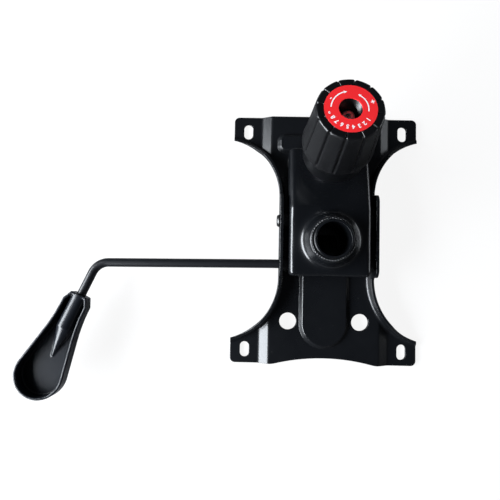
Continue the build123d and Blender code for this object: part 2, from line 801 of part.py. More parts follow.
with BuildPart() as anchor_clip:
    with BuildSketch(Plane.YZ.offset(lug_outer + fitted_clearance)):
        with Locations((anchor_y, anchor_z)):
            Circle(anchor_pin_radius + pin_head)
            Circle(anchor_pin_radius + fitted_clearance, mode=Mode.SUBTRACT)
        with Locations((anchor_y, anchor_z + anchor_pin_radius + pin_head)):
            Rectangle(pin_head, 2 * pin_head + anchor_pin_radius, mode=Mode.SUBTRACT)
    extrude(amount=pin_head / 2)
anchor_clip.part.label = "anchor_clip"
export_step(anchor_clip.part, "parts/anchor_clip.step")

# Tension bolt, an eye bolt that swings on the pin
with BuildPart() as tension_bolt:
    with BuildSketch(bolt_frame):
        Circle(bolt_radius)
    extrude(amount=bolt_end)
    chamfer(tension_bolt.edges().filter_by(GeomType.CIRCLE).sort_by(Axis.Z)[-1], length=bolt_end_chamfer)
    with BuildSketch(bolt_frame.offset(bolt_end)):
        Circle(bolt_centre_radius)
    extrude(amount=-bolt_centre_radius, taper=bolt_centre_taper, mode=Mode.SUBTRACT)
    with BuildSketch(Plane.YZ):
        with Locations((anchor_y, anchor_z)):
            Circle(eye_radius)
    extrude(amount=eye_width / 2, both=True)
    with BuildSketch(Plane.YZ):
        with Locations((anchor_y, anchor_z)):
            Circle(anchor_pin_radius + running_clearance)
    extrude(amount=eye_width, both=True, mode=Mode.SUBTRACT)
tension_bolt.part.label = "tension_bolt"
export_step(tension_bolt.part, "parts/tension_bolt.step")

# Spring seat on the sloping face of the housing
with BuildPart() as spring_seat:
    with BuildSketch(bolt_frame.offset(face_along)):
        Circle(spring_outer + seat_margin)
        SlotOverall(
            face_slot_length,
            2 * (bolt_radius + face_slot_extra),
            rotation=90,
            mode=Mode.SUBTRACT,
        )
    extrude(amount=seat_thickness)
    seat_rim_edges = spring_seat.edges().filter_by(GeomType.CIRCLE)
    seat_rim_edges = seat_rim_edges.filter_by(lambda e: e.radius > spring_outer).sort_by(Axis.Z)
    fillet(seat_rim_edges[-1], radius=seat_edge)
spring_seat.part.label = "spring_seat"
export_step(spring_seat.part, "parts/spring_seat.step")

# Tension spring between the seat and the knob
with BuildPart() as tension_spring:
    spring_length = washer_along - face_along - seat_thickness
    coil_height = spring_length - 2 * spring_wire
    with BuildLine():
        coil = Helix(
            pitch=coil_height / spring_turns,
            height=coil_height,
            radius=spring_radius,
            center=bolt_frame.offset(face_along + seat_thickness + spring_wire).origin,
            direction=bolt_frame.z_dir,
        )
    with BuildSketch(Plane(origin=coil @ 0, z_dir=coil % 0)):
        Circle(spring_wire)
    sweep(is_frenet=True)
tension_spring.part.label = "tension_spring"
export_step(tension_spring.part, "parts/tension_spring.step")

with BuildPart() as thrust_washer:
    with BuildSketch(bolt_frame.offset(washer_along)):
        Circle(spring_outer + seat_margin)
        Circle(bolt_radius + face_clearance, mode=Mode.SUBTRACT)
    extrude(amount=washer_thickness)
thrust_washer.part.label = "thrust_washer"
export_step(thrust_washer.part, "parts/thrust_washer.step")

# Nut moulded into the knob
with BuildPart() as knob_nut:
    with BuildSketch(bolt_frame.offset(nut_along)):
        RegularPolygon(nut_flats / 2, 6, major_radius=False)
        Circle(bolt_radius + running_clearance, mode=Mode.SUBTRACT)
    extrude(amount=nut_height)
knob_nut.part.label = "knob_nut"
export_step(knob_nut.part, "parts/knob_nut.step")

# Knob, a hollow fluted cap
knob_section = Plane(origin=bolt_frame.origin, x_dir=(1, 0, 0), z_dir=-bolt_frame.y_dir)
knob_axis = Axis(bolt_frame.origin, bolt_frame.z_dir)
tier_along = knob_base + knob_tier
with BuildPart() as knob_body:
    with BuildSketch(knob_section) as half:
        with BuildLine():
            Polyline(
                (0, knob_base),
                (knob_base_radius, knob_base),
                (knob_tier_radius, tier_along - knob_edge),
                (knob_shoulder_radius, tier_along),
                (knob_top_radius, knob_top),
                (0, knob_top),
                close=True,
            )
        make_face()
        outer = half.vertices().filter_by(lambda v: v.X > knob_base_radius / 2).sort_by(Axis.Y)
        fillet([outer[0], outer[-1]], radius=knob_edge)
    revolve(axis=knob_axis)
    for groove in range(groove_count):
        angle = radians(groove_phase + groove * 360 / groove_count)
        radial = bolt_frame.x_dir * cos(angle) + bolt_frame.y_dir * sin(angle)
        with BuildSketch(Plane(origin=bolt_frame.origin, x_dir=radial, z_dir=radial.cross(bolt_frame.z_dir))):
            with BuildLine():
                Polyline(
                    (knob_shoulder_radius + 1, tier_along + 1),
                    (knob_shoulder_radius - groove_depth, tier_along + 4 * groove_depth),
                    (knob_top_radius - groove_depth, knob_top - groove_depth),
                    (label_radius + face_clearance, knob_top - groove_depth),
                    (label_radius + face_clearance, knob_top + 1),
                    (knob_shoulder_radius + 1, knob_top + 1),
                    close=True,
                )
            make_face()
        extrude(amount=groove_width / 2, both=True, mode=Mode.SUBTRACT)
    with BuildSketch(bolt_frame.offset(knob_base)):
        Circle(knob_cavity_radius)
    extrude(amount=hub_along - knob_base, mode=Mode.SUBTRACT)
    with BuildSketch(bolt_frame.offset(hub_along)):
        Circle(knob_cavity_radius)
        Circle(knob_hub_radius, mode=Mode.SUBTRACT)
    extrude(amount=knob_top - knob_roof - hub_along, mode=Mode.SUBTRACT)
    with BuildSketch(bolt_frame.offset(hub_along)):
        RegularPolygon(nut_flats / 2 + running_clearance, 6, major_radius=False)
    extrude(amount=nut_along + nut_height - hub_along, mode=Mode.SUBTRACT)
    with BuildSketch(bolt_frame.offset(hub_along)):
        Circle(bolt_radius + face_clearance)
    extrude(amount=knob_length, mode=Mode.SUBTRACT)
    with BuildSketch(bolt_frame.offset(nut_along + nut_height + knob_floor)):
        Circle(knob_hole_radius)
    extrude(amount=knob_length, mode=Mode.SUBTRACT)
    with BuildSketch(bolt_frame.offset(knob_top - label_thickness)):
        Circle(label_radius + fitted_clearance)
    extrude(amount=knob_length, mode=Mode.SUBTRACT)
knob_body.part.label = "knob_body"
export_step(knob_body.part, "parts/knob_body.step")

# Red ring let into the top of the knob
with BuildPart() as knob_label:
    with BuildSketch(bolt_frame.offset(knob_top - label_thickness)):
        Circle(label_radius)
        Circle(knob_hole_radius, mode=Mode.SUBTRACT)
    extrude(amount=label_thickness)
knob_label.part.label = "knob_label"
export_step(knob_label.part, "parts/knob_label.step")
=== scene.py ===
import json
import math

import bmesh
import bpy
from mathutils import Matrix, Vector


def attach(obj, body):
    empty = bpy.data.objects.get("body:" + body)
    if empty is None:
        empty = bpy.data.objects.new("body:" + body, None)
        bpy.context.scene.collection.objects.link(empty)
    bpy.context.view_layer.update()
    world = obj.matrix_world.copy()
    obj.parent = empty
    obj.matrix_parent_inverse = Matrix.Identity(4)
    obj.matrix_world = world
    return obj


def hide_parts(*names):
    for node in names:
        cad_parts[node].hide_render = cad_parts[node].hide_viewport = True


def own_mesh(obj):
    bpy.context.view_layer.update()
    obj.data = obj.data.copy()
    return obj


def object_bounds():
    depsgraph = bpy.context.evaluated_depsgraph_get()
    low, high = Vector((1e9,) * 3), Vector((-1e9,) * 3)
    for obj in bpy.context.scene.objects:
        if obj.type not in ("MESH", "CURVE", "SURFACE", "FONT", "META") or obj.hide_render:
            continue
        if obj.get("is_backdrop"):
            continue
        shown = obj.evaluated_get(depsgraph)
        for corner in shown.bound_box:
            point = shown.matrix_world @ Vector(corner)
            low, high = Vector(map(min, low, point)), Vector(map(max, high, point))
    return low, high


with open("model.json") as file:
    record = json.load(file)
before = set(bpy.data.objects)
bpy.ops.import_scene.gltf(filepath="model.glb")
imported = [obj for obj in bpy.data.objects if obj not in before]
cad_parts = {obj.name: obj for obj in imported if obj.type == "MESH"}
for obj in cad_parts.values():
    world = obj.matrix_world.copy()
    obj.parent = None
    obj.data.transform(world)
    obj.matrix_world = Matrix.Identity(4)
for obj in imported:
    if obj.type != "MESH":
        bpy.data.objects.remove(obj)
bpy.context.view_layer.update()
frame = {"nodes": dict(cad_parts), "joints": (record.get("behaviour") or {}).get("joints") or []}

# Camera straight above the lever side of the plate and close to it, so the
# knob leans away towards the top right corner of the picture.
camera = bpy.data.objects.new("camera", bpy.data.cameras.new("camera"))
camera.data.sensor_width = 36.0
camera.data.lens = 30.96
camera.data.clip_start = 0.01
camera.location = (-0.0627, -0.0271, 0.3972)
camera.rotation_euler = (0.044, 0.0115, 0.020)
bpy.context.scene.collection.objects.link(camera)
bpy.context.scene.camera = camera
bpy.context.scene.view_settings.view_transform = "Standard"

# White sheet under the plate, lit from the left by one large soft lamp and from
# the right by a weak one, in a room that is dark overhead.
sheet_size = 12.0
sheet_level = -0.0004
sheet_glow = 0.9
sheet_tone = (0.96, 0.96, 0.96, 1)
# Painted reflection: glossy surfaces see the sheet dark grey instead of white, so its reflection in them
# is painted dark.
sheet_painted_dark_in_reflections = (0.16, 0.16, 0.16, 1)
bpy.ops.mesh.primitive_plane_add(size=sheet_size, location=(0, 0, sheet_level))
floor = bpy.context.object
floor.name = "floor"
floor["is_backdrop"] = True
sheet_paint = bpy.data.materials.new("floor_sheet")
sheet_paint.use_nodes = True
nodes, links = sheet_paint.node_tree.nodes, sheet_paint.node_tree.links
nodes.clear()
sheet_out = nodes.new("ShaderNodeOutputMaterial")
sheet_mix = nodes.new("ShaderNodeMixShader")
sheet_white = nodes.new("ShaderNodeEmission")
sheet_paper = nodes.new("ShaderNodeBsdfDiffuse")
ray = nodes.new("ShaderNodeLightPath")
seen = nodes.new("ShaderNodeMath")
seen.operation = "MULTIPLY"
seen.inputs[1].default_value = sheet_glow
# Glossy rays get the dark grey sheet colour: a painted dark reflection of the floor.
mirrored = nodes.new("ShaderNodeMix")
mirrored.data_type = "RGBA"
mirrored.inputs[6].default_value = sheet_tone
mirrored.inputs[7].default_value = sheet_painted_dark_in_reflections
links.new(ray.outputs["Is Camera Ray"], seen.inputs[0])
links.new(seen.outputs[0], sheet_mix.inputs[0])
links.new(ray.outputs["Is Glossy Ray"], mirrored.inputs[0])
links.new(mirrored.outputs[2], sheet_paper.inputs["Color"])
links.new(sheet_paper.outputs[0], sheet_mix.inputs[1])
links.new(sheet_white.outputs[0], sheet_mix.inputs[2])
links.new(sheet_mix.outputs[0], sheet_out.inputs[0])
floor.data.materials.append(sheet_paint)

lamp_tint = (0.89, 0.94, 1.0)
lamp_aim = Vector((0, 0, 0.03))
for lamp_name, watts, wide, high, place in (
    ("window_left", 49.0, 1.15, 0.5, (-0.95, -0.2, 0.5)),
    ("bounce_right", 2.6, 0.7, 0.25, (0.95, 0.2, 0.13)),
):
    lamp = bpy.data.objects.new(lamp_name, bpy.data.lights.new(lamp_name, "AREA"))
    lamp.data.shape = "RECTANGLE"
    lamp.data.size = wide
    lamp.data.size_y = high
    lamp.data.energy = watts
    lamp.data.color = lamp_tint
    lamp.location = place
    lamp.rotation_euler = (Vector(place) - lamp_aim).to_track_quat("Z", "Y").to_euler()
    bpy.context.scene.collection.objects.link(lamp)

room_low = (0.1, 0.103, 0.11, 1)
room_high = (0.03, 0.033, 0.04, 1)
room = bpy.data.worlds.new("room")
bpy.context.scene.world = room
room.use_nodes = True
nodes, links = room.node_tree.nodes, room.node_tree.links
nodes.clear()
room_out = nodes.new("ShaderNodeOutputWorld")
room_mix = nodes.new("ShaderNodeMixShader")
room_light = nodes.new("ShaderNodeBackground")
room_white = nodes.new("ShaderNodeBackground")
room_white.inputs["Color"].default_value = (1, 1, 1, 1)
direction = nodes.new("ShaderNodeTexCoord")
height = nodes.new("ShaderNodeSeparateXYZ")
walls = nodes.new("ShaderNodeValToRGB")
walls.color_ramp.elements[0].position = 0.0
walls.color_ramp.elements[0].color = room_low
walls.color_ramp.elements[1].position = 0.75
walls.color_ramp.elements[1].color = room_high
ray = nodes.new("ShaderNodeLightPath")
seen = nodes.new("ShaderNodeMath")
seen.operation = "MAXIMUM"
links.new(direction.outputs["Generated"], height.inputs[0])
links.new(height.outputs["Z"], walls.inputs[0])
links.new(walls.outputs["Color"], room_light.inputs["Color"])
links.new(ray.outputs["Is Camera Ray"], seen.inputs[0])
links.new(ray.outputs["Is Transmission Ray"], seen.inputs[1])
links.new(seen.outputs[0], room_mix.inputs[0])
links.new(room_light.outputs[0], room_mix.inputs[1])
links.new(room_white.outputs[0], room_mix.inputs[2])
links.new(room_mix.outputs[0], room_out.inputs[0])


# Seat plate. One pressing of 2.5 mm sheet steel: ears joggled down to the
# seat, sides turned up into flanges, a raised T with a tongue, then degreased
# and powder coated semi-gloss black.
def add_sockets(tree, taken, given):
    """Gives a tree its inputs, each with a first value or None, and its outputs, by name and kind."""
    for name, kind, value in taken:
        made = tree.interface.new_socket(name, in_out="INPUT", socket_type="NodeSocket" + kind)
        if value is not None:
            made.default_value = value
    for name, kind in given:
        tree.interface.new_socket(name, in_out="OUTPUT", socket_type="NodeSocket" + kind)


def rounded_edges():
    """Rounds edges for the light and finds the edges to colour lighter, in patches: partly wear, partly
    a painted edge highlight.
    """
    group = bpy.data.node_groups.new("rounded_edges", "ShaderNodeTree")
    add_sockets(
        group, [("Radius", "Float", 0.0005), ("Patchiness", "Float", 140.0)],
        [("Normal", "Vector"), ("RubAndHighlight", "Float")],
    )
    nodes, links = group.nodes, group.links
    given = nodes.new("NodeGroupInput")
    made = nodes.new("NodeGroupOutput")
    bevel = nodes.new("ShaderNodeBevel")
    bevel.samples = 6
    surface = nodes.new("ShaderNodeNewGeometry")
    meet = nodes.new("ShaderNodeVectorMath")
    meet.operation = "DOT_PRODUCT"
    turned = nodes.new("ShaderNodeMapRange")
    turned.inputs["From Min"].default_value = 0.995
    turned.inputs["From Max"].default_value = 0.86
    place = nodes.new("ShaderNodeTexCoord")
    patches = nodes.new("ShaderNodeTexNoise")
    patches.inputs["Detail"].default_value = 4.0
    kept = nodes.new("ShaderNodeMapRange")
    kept.inputs["From Min"].default_value = 0.42
    kept.inputs["From Max"].default_value = 0.68
    # Lighter patchy edges: partly wear, partly a painted edge highlight.
    rub_and_highlight = nodes.new("ShaderNodeMath")
    rub_and_highlight.operation = "MULTIPLY"
    links.new(given.outputs["Radius"], bevel.inputs["Radius"])
    links.new(given.outputs["Patchiness"], patches.inputs["Scale"])
    links.new(place.outputs["Object"], patches.inputs["Vector"])
    links.new(bevel.outputs[0], meet.inputs[0])
    links.new(surface.outputs["Normal"], meet.inputs[1])
    links.new(meet.outputs["Value"], turned.inputs["Value"])
    links.new(patches.outputs["Fac"], kept.inputs["Value"])
    links.new(turned.outputs[0], rub_and_highlight.inputs[0])
    links.new(kept.outputs[0], rub_and_highlight.inputs[1])
    links.new(bevel.outputs[0], made.inputs["Normal"])
    links.new(rub_and_highlight.outputs[0], made.inputs["RubAndHighlight"])
    return group


def fine_grain():
    """A fine unevenness of a coat or a moulding, a slow drift of tone, and slow waves."""
    group = bpy.data.node_groups.new("fine_grain", "ShaderNodeTree")
    add_sockets(
        group, [("Grain", "Float", 900.0), ("Drift", "Float", 30.0), ("Waves", "Float", 45.0)],
        [("Height", "Float"), ("Tone", "Float"), ("Swell", "Float")],
    )
    nodes, links = group.nodes, group.links
    given = nodes.new("NodeGroupInput")
    made = nodes.new("NodeGroupOutput")
    place = nodes.new("ShaderNodeTexCoord")
    fine = nodes.new("ShaderNodeTexNoise")
    fine.inputs["Detail"].default_value = 2.0
    slow = nodes.new("ShaderNodeTexNoise")
    slow.inputs["Detail"].default_value = 5.0
    slow.inputs["Roughness"].default_value = 0.6
    swell = nodes.new("ShaderNodeTexNoise")
    swell.inputs["Detail"].default_value = 1.0
    uses = (("Grain", fine, "Height"), ("Drift", slow, "Tone"), ("Waves", swell, "Swell"))
    for scale, noise, result in uses:
        links.new(given.outputs[scale], noise.inputs["Scale"])
        links.new(place.outputs["Object"], noise.inputs["Vector"])
        links.new(noise.outputs["Fac"], made.inputs[result])
    return group


def dust_specks():
    """Sparse pale specks of dust."""
    dusty_share = 0.1
    group = bpy.data.node_groups.new("dust_specks", "ShaderNodeTree")
    add_sockets(group, [("Density", "Float", 260.0), ("Size", "Float", 0.07)], [("Mask", "Float")])
    nodes, links = group.nodes, group.links
    given = nodes.new("NodeGroupInput")
    made = nodes.new("NodeGroupOutput")
    place = nodes.new("ShaderNodeTexCoord")
    cells = nodes.new("ShaderNodeTexVoronoi")
    near = nodes.new("ShaderNodeMath")
    near.operation = "LESS_THAN"
    rare = nodes.new("ShaderNodeSeparateColor")
    few = nodes.new("ShaderNodeMath")
    few.operation = "LESS_THAN"
    few.inputs[1].default_value = dusty_share
    both = nodes.new("ShaderNodeMath")
    both.operation = "MULTIPLY"
    links.new(given.outputs["Density"], cells.inputs["Scale"])
    links.new(given.outputs["Size"], near.inputs[1])
    links.new(place.outputs["Object"], cells.inputs["Vector"])
    links.new(cells.outputs["Distance"], near.inputs[0])
    links.new(cells.outputs["Color"], rare.inputs[0])
    links.new(rare.outputs["Red"], few.inputs[0])
    links.new(near.outputs[0], both.inputs[0])
    links.new(few.outputs[0], both.inputs[1])
    links.new(both.outputs[0], made.inputs["Mask"])
    return group


edge_group = rounded_edges()
grain_group = fine_grain()
dust_group = dust_specks()
dust_colour = (0.3, 0.3, 0.29, 1)
shinier = 0.05
duller = 0.07


def finish_of(
    name, low, high, rubbed_and_lit_edge, roughness, edge, grain, relief,
    metallic=0.0, dusty=0.2, swell=0.0, gloss=0.5,
):
    """A finish whose colour drifts from low to high and is lighter in patches along its edges, partly
    from wear and partly as a painted edge highlight.
    """
    material = bpy.data.materials.new(name)
    material.use_nodes = True
    nodes, links = material.node_tree.nodes, material.node_tree.links
    shader = nodes["Principled BSDF"]
    shader.inputs["Metallic"].default_value = metallic
    shader.inputs["Specular IOR Level"].default_value = gloss
    edges = nodes.new("ShaderNodeGroup")
    edges.node_tree = edge_group
    edges.inputs["Radius"].default_value = edge
    skin = nodes.new("ShaderNodeGroup")
    skin.node_tree = grain_group
    skin.inputs["Grain"].default_value = grain
    dust = nodes.new("ShaderNodeGroup")
    dust.node_tree = dust_group
    tone = nodes.new("ShaderNodeMix")
    tone.data_type = "RGBA"
    tone.inputs[6].default_value = (*low, 1)
    tone.inputs[7].default_value = (*high, 1)
    # Edge colour mixed in along the edges: partly wear, partly a painted edge highlight.
    worn_and_lit = nodes.new("ShaderNodeMix")
    worn_and_lit.data_type = "RGBA"
    worn_and_lit.inputs[7].default_value = (*rubbed_and_lit_edge, 1)
    powdered = nodes.new("ShaderNodeMix")
    powdered.data_type = "RGBA"
    powdered.inputs[7].default_value = dust_colour
    shown = nodes.new("ShaderNodeMath")
    shown.operation = "MULTIPLY"
    shown.inputs[1].default_value = dusty
    sheen = nodes.new("ShaderNodeMapRange")
    sheen.inputs["To Min"].default_value = roughness - shinier
    sheen.inputs["To Max"].default_value = roughness + duller
    waves = nodes.new("ShaderNodeBump")
    waves.inputs["Distance"].default_value = swell
    bump = nodes.new("ShaderNodeBump")
    bump.inputs["Distance"].default_value = relief
    links.new(skin.outputs["Tone"], tone.inputs[0])
    links.new(tone.outputs[2], worn_and_lit.inputs[6])
    links.new(edges.outputs["RubAndHighlight"], worn_and_lit.inputs[0])
    links.new(dust.outputs["Mask"], shown.inputs[0])
    links.new(worn_and_lit.outputs[2], powdered.inputs[6])
    links.new(shown.outputs[0], powdered.inputs[0])
    links.new(powdered.outputs[2], shader.inputs["Base Color"])
    links.new(skin.outputs["Tone"], sheen.inputs["Value"])
    links.new(sheen.outputs[0], shader.inputs["Roughness"])
    links.new(skin.outputs["Swell"], waves.inputs["Height"])
    links.new(edges.outputs["Normal"], waves.inputs["Normal"])
    links.new(skin.outputs["Height"], bump.inputs["Height"])
    links.new(waves.outputs[0], bump.inputs["Normal"])
    links.new(bump.outputs[0], shader.inputs["Normal"])
    return material


def dress(names, material):
    """Gives CAD nodes their finish."""
    for name in names:
        frame["nodes"][name].data.materials.clear()
        frame["nodes"][name].data.materials.append(material)


# Each finish's fourth colour is its edge colour, partly wear and partly a painted edge highlight.
powder_coat = finish_of(
    "black_powder_coat", (0.0022, 0.0026, 0.0034), (0.004, 0.0045, 0.0055), (0.03, 0.031, 0.034),
    roughness=0.27, edge=0.0006, grain=950.0, relief=0.00002, swell=0.0002,
)
dress(["seat_plate"], powder_coat)

# Anchor for the tension bolt. Two pressed lugs welded to the plate's T, coated
# with it, and a zinc plated pin that a spring steel clip holds.
bright_zinc = finish_of(
    "bright_zinc", (0.5, 0.5, 0.48), (0.66, 0.66, 0.63), (0.75, 0.75, 0.72),
    roughness=0.3, edge=0.0003, grain=1800.0, relief=0.00001, metallic=1.0,
)
spring_steel = finish_of(
    "oiled_spring_steel", (0.16, 0.16, 0.17), (0.24, 0.24, 0.25), (0.35, 0.35, 0.35),
    roughness=0.33, edge=0.0002, grain=2500.0, relief=0.00001, metallic=1.0,
)
dress(["anchor_lugs"], powder_coat)
dress(["anchor_pin"], bright_zinc)
dress(["anchor_clip"], spring_steel)

# Bump pads. Two moulded rubber blocks glued to the plate, on which the front
# of the housing rests.
pad_rubber = finish_of(
    "matt_rubber", (0.008, 0.008, 0.008), (0.014, 0.014, 0.014), (0.03, 0.03, 0.03),
    roughness=0.7, edge=0.0004, grain=1500.0, relief=0.00003,
)
dress(["bump_pads"], pad_rubber)

# Housing. A pan drawn deep from one blank, with a boss raised in its top. Every
# edge is soft and the boss runs into the top in a wide sweep.
boss_place = Vector((0.0, -0.0019, 0.0393))
boss_foot_radius = 0.0255
boss_sweep = 0.011
sweep_rounds = 70
pan_voxel = 0.00095
pan_rounds = 5


def pressed_skin(node, name, voxel, rounds):
    """A CAD node's shape with the soft edges of a pressing or a moulding, as a plain mesh."""
    skin = bpy.data.objects.new(name, frame["nodes"][node].data.copy())
    bpy.context.scene.collection.objects.link(skin)
    joined = bmesh.new()
    joined.from_mesh(skin.data)
    bmesh.ops.remove_doubles(joined, verts=joined.verts, dist=1e-6)
    joined.to_mesh(skin.data)
    joined.free()
    remade = skin.modifiers.new("one_skin", "REMESH")
    remade.mode = "VOXEL"
    remade.voxel_size = voxel
    remade.use_smooth_shade = True
    softened = skin.modifiers.new("soft_edges", "SMOOTH")
    softened.factor = 0.5
    softened.iterations = rounds
    return plain_mesh(skin)


def plain_mesh(thing):
    """Turns an object's modifiers into its mesh."""
    made = bpy.data.meshes.new_from_object(thing.evaluated_get(bpy.context.evaluated_depsgraph_get()))
    thing.modifiers.clear()
    thing.data = made
    return thing


def stand_in(piece, nodes, body, material):
    """Puts a finished piece in the place of CAD nodes."""
    piece.data.materials.clear()
    piece.data.materials.append(material)
    piece.data.shade_smooth()
    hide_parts(*nodes)
    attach(piece, body)


drawn_pan = pressed_skin("housing", "drawn_pan", pan_voxel, pan_rounds)
sweep = drawn_pan.vertex_groups.new(name="boss_sweep")
for point in drawn_pan.data.vertices:
    out = math.hypot(point.co.x - boss_place.x, point.co.y - boss_place.y) - boss_foot_radius
    away = math.hypot(out, point.co.z - boss_place.z) / boss_sweep
    if away < 1:
        sweep.add([point.index], 1 - away, "REPLACE")
swept = drawn_pan.modifiers.new("boss_sweep", "SMOOTH")
swept.vertex_group = "boss_sweep"
swept.factor = 0.6
swept.iterations = sweep_rounds
plain_mesh(drawn_pan)
pan_coat = finish_of(
    "drawn_black_coat", (0.002, 0.0024, 0.0032), (0.0036, 0.0042, 0.0052), (0.03, 0.031, 0.034),
    roughness=0.25, edge=0.0003, grain=950.0, relief=0.00002, swell=0.0007,
)
stand_in(drawn_pan, ["housing"], "housing", pan_coat)

# Gas lift socket. A turned tube pressed through the boss, steadied inside by a
# saddle plate and coated with the housing.
dress(["gas_lift_socket", "inner_saddle"], pan_coat)

# Weld bead. One run of wire weld round the socket, laid down in overlapping
# ripples, then coated.
weld_radius = 0.0171
weld_level = 0.0515
ripple_size = 0.0015
ripple_count = 48
ripple_seed = 7
ripple_sizes = (0.82, 1.14)
ripple_shift = Vector((0.00018, 0.00018, 0.00022))


def ripple_tree():
    """Overlapping drops of weld along a circle."""
    tree = bpy.data.node_groups.new("weld_ripples", "GeometryNodeTree")
    kinds = {"Radius": "Float", "Ripple": "Float", "Count": "Int", "Seed": "Int", "Material": "Material"}
    add_sockets(tree, [(name, kind, None) for name, kind in kinds.items()], [("Geometry", "Geometry")])
    nodes, links = tree.nodes, tree.links
    given = nodes.new("NodeGroupInput")
    made = nodes.new("NodeGroupOutput")
    ring = nodes.new("GeometryNodeMeshCircle")
    drop = nodes.new("GeometryNodeMeshIcoSphere")
    drop.inputs["Subdivisions"].default_value = 3
    size = nodes.new("FunctionNodeRandomValue")
    size.data_type = "FLOAT"
    size.inputs[2].default_value, size.inputs[3].default_value = ripple_sizes
    shift = nodes.new("FunctionNodeRandomValue")
    shift.data_type = "FLOAT_VECTOR"
    shift.inputs[0].default_value = -ripple_shift
    shift.inputs[1].default_value = ripple_shift
    moved = nodes.new("GeometryNodeSetPosition")
    laid = nodes.new("GeometryNodeInstanceOnPoints")
    real = nodes.new("GeometryNodeRealizeInstances")
    coat = nodes.new("GeometryNodeSetMaterial")
    links.new(given.outputs["Count"], ring.inputs["Vertices"])
    links.new(given.outputs["Radius"], ring.inputs["Radius"])
    links.new(given.outputs["Ripple"], drop.inputs["Radius"])
    links.new(given.outputs["Seed"], size.inputs["Seed"])
    links.new(given.outputs["Seed"], shift.inputs["Seed"])
    links.new(ring.outputs["Mesh"], moved.inputs["Geometry"])
    links.new(shift.outputs[0], moved.inputs["Offset"])
    links.new(moved.outputs["Geometry"], laid.inputs["Points"])
    links.new(drop.outputs["Mesh"], laid.inputs["Instance"])
    links.new(size.outputs[1], laid.inputs["Scale"])
    links.new(laid.outputs["Instances"], real.inputs["Geometry"])
    links.new(real.outputs["Geometry"], coat.inputs["Geometry"])
    links.new(given.outputs["Material"], coat.inputs["Material"])
    links.new(coat.outputs["Geometry"], made.inputs["Geometry"])
    return tree


def grown(name, tree, values):
    """A plain mesh grown by a tree from its named inputs."""
    piece = bpy.data.objects.new(name, bpy.data.meshes.new(name))
    bpy.context.scene.collection.objects.link(piece)
    growth = piece.modifiers.new("growth", "NODES")
    growth.node_group = tree
    for item in tree.interface.items_tree:
        if item.item_type == "SOCKET" and item.in_out == "INPUT":
            growth[item.identifier] = values[item.name]
    return plain_mesh(piece)


weld_coat = finish_of(
    "coated_weld", (0.003, 0.0034, 0.0042), (0.006, 0.0065, 0.0075), (0.03, 0.031, 0.034),
    roughness=0.14, edge=0.0001, grain=1200.0, relief=0.00005,
)
weld_run = grown("weld_run", ripple_tree(), {
    "Radius": weld_radius, "Ripple": ripple_size, "Count": ripple_count, "Seed": ripple_seed,
    "Material": weld_coat,
})
weld_run.data.transform(Matrix.Translation((boss_place.x, boss_place.y, weld_level)))
stand_in(weld_run, ["weld_bead"], "housing", weld_coat)

# Tilt pivot. Two shouldered steel rivets, zinc plated after their heads are
# formed, each turning in a flanged nylon bush in the housing's wall.
black_nylon = finish_of(
    "black_nylon", (0.008, 0.008, 0.009), (0.014, 0.014, 0.015), (0.03, 0.03, 0.03),
    roughness=0.45, edge=0.0003, grain=2200.0, relief=0.00001,
)
dull_zinc = finish_of(
    "dull_zinc", (0.08, 0.08, 0.08), (0.13, 0.13, 0.125), (0.3, 0.3, 0.29),
    roughness=0.36, edge=0.0003, grain=1800.0, relief=0.00001, metallic=1.0,
)
dress(["pivot_rivet_left", "pivot_rivet_right"], dull_zinc)
dress(["pivot_bush_left", "pivot_bush_right"], black_nylon)

# Height lever. Round bar bent cold and coated black, in two nylon bushes, with
# a stop collar held to it by a rolled pin.
rod_coat = finish_of(
    "black_rod_coat", (0.004, 0.0045, 0.006), (0.006, 0.0068, 0.0085), (0.03, 0.03, 0.034),
    roughness=0.36, edge=0.0003, grain=1400.0, relief=0.00003, gloss=0.4,
)
dress(["lever_rod"], rod_coat)
dress(["lever_bush_left", "lever_bush_right"], black_nylon)
dress(["stop_collar"], bright_zinc)
dress(["collar_pin"], spring_steel)

# Release blade. Pressed steel arm on the lever, turned back by a torsion
# spring of thin wire wound close round the rod.
rod_axis = Vector((0.0, -0.0223, 0.0235))
return_start = 0.0093
return_length = 0.0108
return_radius = 0.00455
return_wire = 0.00045
return_turns = 11.75
return_leg = 0.0025


def reckoner(nodes, links):
    """A function that adds one sum to a node tree, from plain numbers and other nodes' results."""

    def reckon(operation, *values):
        step = nodes.new("ShaderNodeMath")
        step.operation = operation
        for slot, value in zip(step.inputs, values):
            if isinstance(value, (int, float)):
                slot.default_value = value
            else:
                links.new(value, slot)
        return step.outputs[0]

    return reckon


